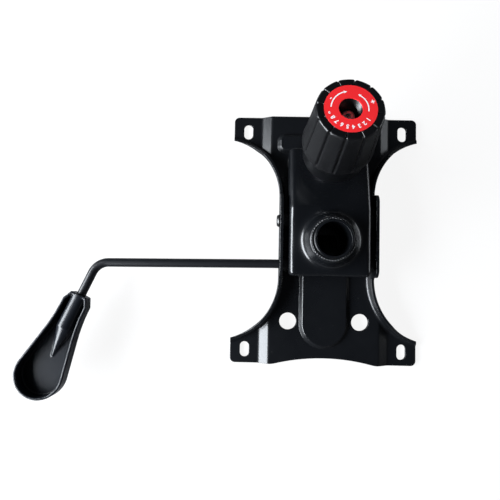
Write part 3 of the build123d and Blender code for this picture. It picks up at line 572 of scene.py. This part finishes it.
def coil_tree():
    """Round wire wound in a coil along Z, with closed ends and two straight legs if wanted."""
    tree = bpy.data.node_groups.new("wound_coil", "GeometryNodeTree")
    sizes = [(name, "Float", None) for name in ("Radius", "Wire", "Turns", "Height", "Leg")]
    add_sockets(tree, sizes + [("Material", "Material", None)], [("Geometry", "Geometry")])
    nodes, links = tree.nodes, tree.links
    reckon = reckoner(nodes, links)
    given = nodes.new("NodeGroupInput")
    made = nodes.new("NodeGroupOutput")
    spiral = nodes.new("GeometryNodeCurveSpiral")
    spiral.inputs["Resolution"].default_value = 40
    links.new(given.outputs["Turns"], spiral.inputs["Rotations"])
    links.new(given.outputs["Radius"], spiral.inputs["Start Radius"])
    links.new(given.outputs["Radius"], spiral.inputs["End Radius"])
    links.new(given.outputs["Height"], spiral.inputs["Height"])
    place = nodes.new("GeometryNodeInputPosition")
    parts = nodes.new("ShaderNodeSeparateXYZ")
    links.new(place.outputs[0], parts.inputs[0])
    wire_across = reckon("MULTIPLY", given.outputs["Wire"], 2)
    share_here = reckon("DIVIDE", parts.outputs["Z"], given.outputs["Height"])
    turn_here = reckon("MULTIPLY", share_here, given.outputs["Turns"])
    first_turn = reckon("MINIMUM", turn_here, 1)
    before_last = reckon("SUBTRACT", given.outputs["Turns"], 1)
    last_turn = reckon("MAXIMUM", reckon("SUBTRACT", turn_here, before_last), 0)
    open_turns = reckon("SUBTRACT", reckon("SUBTRACT", turn_here, first_turn), last_turn)
    open_height = reckon("SUBTRACT", given.outputs["Height"], reckon("MULTIPLY", wire_across, 3))
    pitch = reckon("DIVIDE", open_height, reckon("SUBTRACT", given.outputs["Turns"], 2))
    closed = reckon("MULTIPLY", reckon("ADD", first_turn, last_turn), wire_across)
    climbed = reckon("ADD", closed, reckon("MULTIPLY", open_turns, pitch))
    level = reckon("ADD", climbed, given.outputs["Wire"])
    together = nodes.new("ShaderNodeCombineXYZ")
    links.new(parts.outputs["X"], together.inputs["X"])
    links.new(parts.outputs["Y"], together.inputs["Y"])
    links.new(level, together.inputs["Z"])
    wound = nodes.new("GeometryNodeSetPosition")
    links.new(spiral.outputs["Curve"], wound.inputs["Geometry"])
    links.new(together.outputs[0], wound.inputs["Position"])
    legs = nodes.new("GeometryNodeJoinGeometry")
    top_level = reckon("SUBTRACT", given.outputs["Height"], given.outputs["Wire"])
    for way, leg_level in ((-1, given.outputs["Wire"]), (1, top_level)):
        line = nodes.new("GeometryNodeCurvePrimitiveLine")
        near = nodes.new("ShaderNodeCombineXYZ")
        far = nodes.new("ShaderNodeCombineXYZ")
        for end in (near, far):
            links.new(given.outputs["Radius"], end.inputs["X"])
            links.new(leg_level, end.inputs["Z"])
        links.new(reckon("MULTIPLY", given.outputs["Leg"], way), far.inputs["Y"])
        links.new(near.outputs[0], line.inputs["Start"])
        links.new(far.outputs[0], line.inputs["End"])
        links.new(line.outputs["Curve"], legs.inputs["Geometry"])
    wanted = nodes.new("GeometryNodeSwitch")
    wanted.input_type = "GEOMETRY"
    has_legs = nodes.new("FunctionNodeCompare")
    has_legs.operation = "GREATER_THAN"
    links.new(given.outputs["Leg"], has_legs.inputs[0])
    links.new(has_legs.outputs[0], wanted.inputs["Switch"])
    links.new(legs.outputs[0], wanted.inputs["True"])
    all_wire = nodes.new("GeometryNodeJoinGeometry")
    links.new(wound.outputs["Geometry"], all_wire.inputs["Geometry"])
    links.new(wanted.outputs[0], all_wire.inputs["Geometry"])
    round_wire = nodes.new("GeometryNodeCurvePrimitiveCircle")
    round_wire.inputs["Resolution"].default_value = 16
    links.new(given.outputs["Wire"], round_wire.inputs["Radius"])
    swept = nodes.new("GeometryNodeCurveToMesh")
    swept.inputs["Fill Caps"].default_value = True
    links.new(all_wire.outputs[0], swept.inputs["Curve"])
    links.new(round_wire.outputs["Curve"], swept.inputs["Profile Curve"])
    real = nodes.new("GeometryNodeRealizeInstances")
    steel = nodes.new("GeometryNodeSetMaterial")
    links.new(swept.outputs["Mesh"], real.inputs["Geometry"])
    links.new(real.outputs["Geometry"], steel.inputs["Geometry"])
    links.new(given.outputs["Material"], steel.inputs["Material"])
    links.new(steel.outputs["Geometry"], made.inputs["Geometry"])
    return tree


coils = coil_tree()
# The blade shows down the socket's mouth and is given near-black zinc so that the mouth renders dark.
black_zinc = finish_of(
    "near_black_blade_zinc", (0.01, 0.01, 0.011), (0.02, 0.02, 0.022), (0.08, 0.08, 0.08),
    roughness=0.4, edge=0.0003, grain=1800.0, relief=0.00001, metallic=1.0,
)
dress(["release_blade"], black_zinc)
torsion_coil = grown("torsion_coil", coils, {
    "Radius": return_radius, "Wire": return_wire, "Turns": return_turns, "Height": return_length,
    "Leg": return_leg, "Material": spring_steel,
})
torsion_coil.data.transform(
    Matrix.Translation((return_start, rod_axis.y, rod_axis.z)) @ Matrix.Rotation(math.pi / 2, 4, "Y")
)
stand_in(torsion_coil, ["return_spring"], "release_arm", spring_steel)

# Handle. A shallow tray moulded in one piece round the socket for the rod, in
# fine grained black plastic with rounded rims.
handle_plastic = finish_of(
    "grained_handle_plastic", (0.004, 0.005, 0.0075), (0.0065, 0.008, 0.011), (0.03, 0.032, 0.038),
    roughness=0.3, edge=0.0004, grain=2600.0, relief=0.00004, gloss=0.35,
)
handle_voxel = 0.00055
handle_rounds = 4
moulded_handle = pressed_skin("lever_handle", "moulded_handle", handle_voxel, handle_rounds)
stand_in(moulded_handle, ["lever_handle"], "lever", handle_plastic)

# Tension bolt. An eye bolt swinging on the anchor pin, with a rolled thread of
# 1.5 mm pitch up to its end, plated like its seat, washer and nut.
knob_joint = next(j for j in frame["joints"] if j["name"] == "knob_turn")
bolt_foot = Vector(knob_joint["pos_m"])
bolt_way = Vector(knob_joint["axis"]).normalized()
bolt_lean = math.atan2(bolt_way.y, bolt_way.z)
bolt_place = Matrix.Translation(bolt_foot) @ Matrix.Rotation(-bolt_lean, 4, "X")
thread_pitch = 0.0015
thread_start = 0.02
thread_relief = 0.0014


def rolled_thread(shader_nodes, shader_links, normal):
    """A rolled thread round the bolt, as a bump over the given normal."""
    place = shader_nodes.new("ShaderNodeTexCoord")
    upright = shader_nodes.new("ShaderNodeMapping")
    upright.inputs["Rotation"].default_value = (bolt_lean, 0, 0)
    upright.inputs["Location"].default_value = -(Matrix.Rotation(bolt_lean, 3, "X") @ bolt_foot)
    parts = shader_nodes.new("ShaderNodeSeparateXYZ")
    shader_links.new(place.outputs["Object"], upright.inputs["Vector"])
    shader_links.new(upright.outputs[0], parts.inputs[0])
    reckon = reckoner(shader_nodes, shader_links)
    turn = reckon("DIVIDE", reckon("ARCTAN2", parts.outputs["Y"], parts.outputs["X"]), 2 * math.pi)
    climb = reckon("SUBTRACT", reckon("DIVIDE", parts.outputs["Z"], thread_pitch), turn)
    ridge = reckon("PINGPONG", climb, 0.5)
    threaded = reckon("GREATER_THAN", parts.outputs["Z"], thread_start)
    bump = shader_nodes.new("ShaderNodeBump")
    bump.inputs["Distance"].default_value = thread_relief
    shader_links.new(reckon("MULTIPLY", ridge, threaded), bump.inputs["Height"])
    shader_links.new(normal, bump.inputs["Normal"])
    return bump.outputs[0]


threaded_zinc = finish_of(
    "threaded_zinc", (0.5, 0.5, 0.48), (0.66, 0.66, 0.63), (0.75, 0.75, 0.72),
    roughness=0.3, edge=0.0003, grain=1800.0, relief=0.00001, metallic=1.0,
)
nodes, links = threaded_zinc.node_tree.nodes, threaded_zinc.node_tree.links
surface_normal = nodes["Principled BSDF"].inputs["Normal"]
links.new(rolled_thread(nodes, links, surface_normal.links[0].from_socket), surface_normal)
dress(["tension_bolt"], threaded_zinc)
dress(["spring_seat", "thrust_washer", "knob_nut"], bright_zinc)

# Tension spring. Heavy wire wound with a closed turn at each end, between its seat and the thrust
# washer.
# The real spring is pushed together as the housing tilts; this one keeps one length.
spring_foot = 0.01335
spring_height = 0.0491
spring_radius = 0.0115
spring_wire = 0.002
spring_turns = 8.0
heavy_coil = grown("heavy_coil", coils, {
    "Radius": spring_radius, "Wire": spring_wire, "Turns": spring_turns, "Height": spring_height,
    "Leg": 0.0, "Material": spring_steel,
})
heavy_coil.data.transform(bolt_place @ Matrix.Translation((0, 0, spring_foot)))
stand_in(heavy_coil, ["tension_spring"], "tension_rod", spring_steel)
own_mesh(heavy_coil)

# Knob. A hollow cap moulded in satin black plastic: twelve nearly flat panels
# between grooves that run out above the skirt and on over the top edge.
knob_base = 0.02795
knob_top = 0.09395
knob_tier = 0.04895
skirt_radius = 0.0254
tier_radius = 0.0266
shoulder_radius = 0.0283
top_radius = 0.0240
cavity_radius = 0.0203
hub_radius = 0.0126
hub_foot = 0.06465
pocket_radius = 0.00986
pocket_roof = 0.07245
roof = 0.08995
bolt_room = 0.0053
hole_floor = 0.07545
hole_radius = 0.0082
label_radius = 0.0182
label_depth = 0.0008
panel_count = 12
groove_phase = math.radians(20)
groove_depth = 0.0015
groove_reach = 0.0019
panel_flatness = 0.4


def arc_of(centre, radius, start, end, steps):
    """Points on an arc of the knob's outline, angles in degrees."""
    turns = [math.radians(start + (end - start) * i / steps) for i in range(steps + 1)]
    return [(centre[0] + radius * math.cos(t), centre[1] + radius * math.sin(t)) for t in turns]


def ease(low, high, value):
    """Rises smoothly from 0 at low to 1 at high."""
    share = min(max((value - low) / (high - low), 0), 1)
    return share * share * (3 - 2 * share)


knob_edge = 0.0018
top_edge = 0.0024
shoulder_foot = knob_tier - 0.0035
side_start = knob_tier + 0.001
side_end = knob_top - top_edge
label_gap = 0.00005
rim_gap = 0.00015
floor_drop = 0.00002
outline = [(cavity_radius, knob_base), (skirt_radius - 2 * knob_edge, knob_base)]
outline += arc_of((skirt_radius - knob_edge, knob_base + knob_edge), knob_edge, -90, 0, 6)
skirt_rows = 8
for row in range(1, skirt_rows + 1):
    share = row / skirt_rows
    outline.append((
        skirt_radius + (tier_radius - skirt_radius) * share,
        knob_base + knob_edge + (shoulder_foot - knob_base - knob_edge) * share,
    ))
shoulder_rows = 6
for row in range(1, shoulder_rows + 1):
    share = row / shoulder_rows
    outline.append((
        tier_radius + (shoulder_radius - tier_radius) * ease(0, 1, share),
        shoulder_foot + (side_start - shoulder_foot) * share,
    ))
slope = (shoulder_radius - top_radius) / (knob_top - knob_tier)
side_rows = 34
for row in range(1, side_rows + 1):
    along = side_start + (side_end - side_start) * row / side_rows
    outline.append((shoulder_radius - slope * (along - knob_tier), along))
outline += arc_of((outline[-1][0] - top_edge, side_end), top_edge, 8, 90, 9)
top_rows = 5
inner_rim = label_radius + rim_gap
for row in range(1, top_rows + 1):
    outline.append((outline[-1][0] + (inner_rim - outline[-1][0]) * row / top_rows, knob_top))
label_floor = knob_top - label_depth - floor_drop
outline += [
    (label_radius + label_gap, knob_top - rim_gap + label_gap),
    (label_radius + label_gap, label_floor),
    (hole_radius, label_floor),
    (hole_radius, hole_floor),
    (bolt_room, hole_floor),
    (bolt_room, pocket_roof),
    (pocket_radius, pocket_roof),
    (pocket_radius, hub_foot),
    (hub_radius, hub_foot),
    (hub_radius, roof),
    (cavity_radius, roof),
]

pitch_angle = 2 * math.pi / panel_count
across = [0.0, 0.011, 0.022, 0.036, 0.052, 0.07, 0.095, 0.13, 0.17, 0.215]
groove_fade = (knob_tier + 0.0005, knob_tier + 0.005)
narrower_on_top = 0.45
shallower_on_top = 0.35
angles = []
for panel in range(panel_count):
    middle = groove_phase + panel * pitch_angle
    angles += [middle - a for a in reversed(across[1:])] + [middle + a for a in across]

shell = bmesh.new()
rows = []
for i, (radius, along) in enumerate(outline):
    before, after = outline[i - 1], outline[(i + 1) % len(outline)]
    step = Vector((after[0] - before[0], after[1] - before[1])).normalized()
    outward = Vector((step.y, -step.x))
    grooved = ease(*groove_fade, along)
    if radius < label_radius + 2 * label_gap:
        grooved = 0.0
    facing_up = ease(0.5, 0.95, outward.y)
    ring = []
    for angle in angles:
        near = (angle - groove_phase + pitch_angle / 2) % pitch_angle - pitch_angle / 2
        aside = abs(near) * radius
        notch = max(0.0, 1 - aside / (groove_reach * (1 - narrower_on_top * facing_up))) ** 2
        depth = groove_depth * (1 - shallower_on_top * facing_up) * notch * grooved
        from_middle = pitch_angle / 2 - abs(near)
        flat = 1 - math.cos(pitch_angle / 2) / math.cos(from_middle)
        flattened = panel_flatness * flat * radius * grooved * (1 - facing_up)
        here = radius - outward.x * depth - flattened
        place = (here * math.cos(angle), here * math.sin(angle), along - outward.y * depth)
        ring.append(shell.verts.new(place))
    rows.append(ring)
for lower, upper in zip(rows, rows[1:] + rows[:1]):
    for i in range(len(angles)):
        j = (i + 1) % len(angles)
        shell.faces.new((lower[i], lower[j], upper[j], upper[i]))
bmesh.ops.recalc_face_normals(shell, faces=shell.faces)
knob_cap = bpy.data.objects.new("knob_cap", bpy.data.meshes.new("knob_cap"))
shell.to_mesh(knob_cap.data)
shell.free()
knob_cap.data.transform(bolt_place)
bpy.context.scene.collection.objects.link(knob_cap)
knob_plastic = finish_of(
    "satin_knob_plastic", (0.0015, 0.0016, 0.002), (0.003, 0.0032, 0.0038), (0.03, 0.03, 0.032),
    roughness=0.29, edge=0.0003, grain=1800.0, relief=0.00003, gloss=0.5,
)
stand_in(knob_cap, ["knob_body"], "knob", knob_plastic)

# Label. A glossy red disc let into the top, printed in white with two curved
# arrows, a plus, a minus and a plain scale of numbers.
label_red = finish_of(
    "glossy_red", (0.83, 0.022, 0.026), (0.88, 0.026, 0.03), (0.85, 0.1, 0.1),
    roughness=0.3, edge=0.0001, grain=1500.0, relief=0.00001, dusty=0.05,
)
print_white = finish_of(
    "printed_white", (0.86, 0.86, 0.86), (0.92, 0.92, 0.92), (0.9, 0.9, 0.9),
    roughness=0.4, edge=0.0001, grain=1500.0, relief=0.000005, dusty=0.0,
)
dress(["knob_label"], label_red)
print_level = knob_top + 0.00003
print_boldness = 0.00015
arrow_width = 0.00042
head_length = 0.0021
head_half = 0.00105
digit_height = 0.0041
sign_height = 0.0052
digit_radius = 0.0140
digit_first = -36.0
digit_last = -167.0
digit_count = 9
sign_radius = 0.0158
sign_angles = {"-": 150.0, "+": 20.0}


def printed_arrow(name, radius, tail, head):
    """A curved arrow on the label, angles in degrees."""
    print_mesh = bmesh.new()

    def point(out, turn):
        return print_mesh.verts.new((out * math.cos(turn), out * math.sin(turn), 0))

    way = 1 if head > tail else -1
    steps = 18
    pairs = []
    for i in range(steps + 1):
        turn = math.radians(tail + (head - tail) * i / steps)
        pairs.append([point(radius - arrow_width, turn), point(radius + arrow_width, turn)])
    for a, b in zip(pairs, pairs[1:]):
        print_mesh.faces.new((a[0], a[1], b[1], b[0]))
    turn = math.radians(head)
    tip = turn + way * head_length / radius
    corners = [(radius - head_half, turn), (radius + head_half, turn), (radius, tip)]
    print_mesh.faces.new([point(out, turn) for out, turn in corners])
    arrow = bpy.data.meshes.new(name)
    print_mesh.to_mesh(arrow)
    print_mesh.free()
    return arrow


def printed_sign(text, radius, angle, size):
    """A number or sign on the label with its top outwards."""
    letters = bpy.data.curves.new("sign", "FONT")
    letters.body = text
    letters.size = size
    letters.offset = print_boldness
    letters.align_x = "CENTER"
    letters.align_y = "CENTER"
    carrier = bpy.data.objects.new("sign", letters)
    bpy.context.scene.collection.objects.link(carrier)
    made = bpy.data.meshes.new_from_object(carrier.evaluated_get(bpy.context.evaluated_depsgraph_get()))
    bpy.data.objects.remove(carrier)
    upright = Matrix.Rotation(-math.pi / 2, 4, "Z")
    turned = Matrix.Rotation(math.radians(angle), 4, "Z")
    made.transform(turned @ Matrix.Translation((radius, 0, 0)) @ upright)
    return made


marks = [
    printed_arrow("arrow_left", 0.0134, 175.0, 108.0),
    printed_arrow("arrow_right", 0.0121, -10.0, 54.0),
]
for count in range(digit_count):
    angle = digit_first + (digit_last - digit_first) * count / (digit_count - 1)
    marks.append(printed_sign(str(count + 1), digit_radius, angle, digit_height))
for text, angle in sign_angles.items():
    marks.append(printed_sign(text, sign_radius, angle, sign_height))
printing = bmesh.new()
for mark in marks:
    printing.from_mesh(mark)
for side in printing.faces:
    side.normal_update()
    if side.normal.z < 0:
        side.normal_flip()
label_print = bpy.data.objects.new("label_print", bpy.data.meshes.new("label_print"))
printing.to_mesh(label_print.data)
printing.free()
label_print.data.transform(bolt_place @ Matrix.Translation((0, 0, print_level)))
label_print.data.materials.append(print_white)
bpy.context.scene.collection.objects.link(label_print)
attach(label_print, "knob")

low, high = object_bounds()
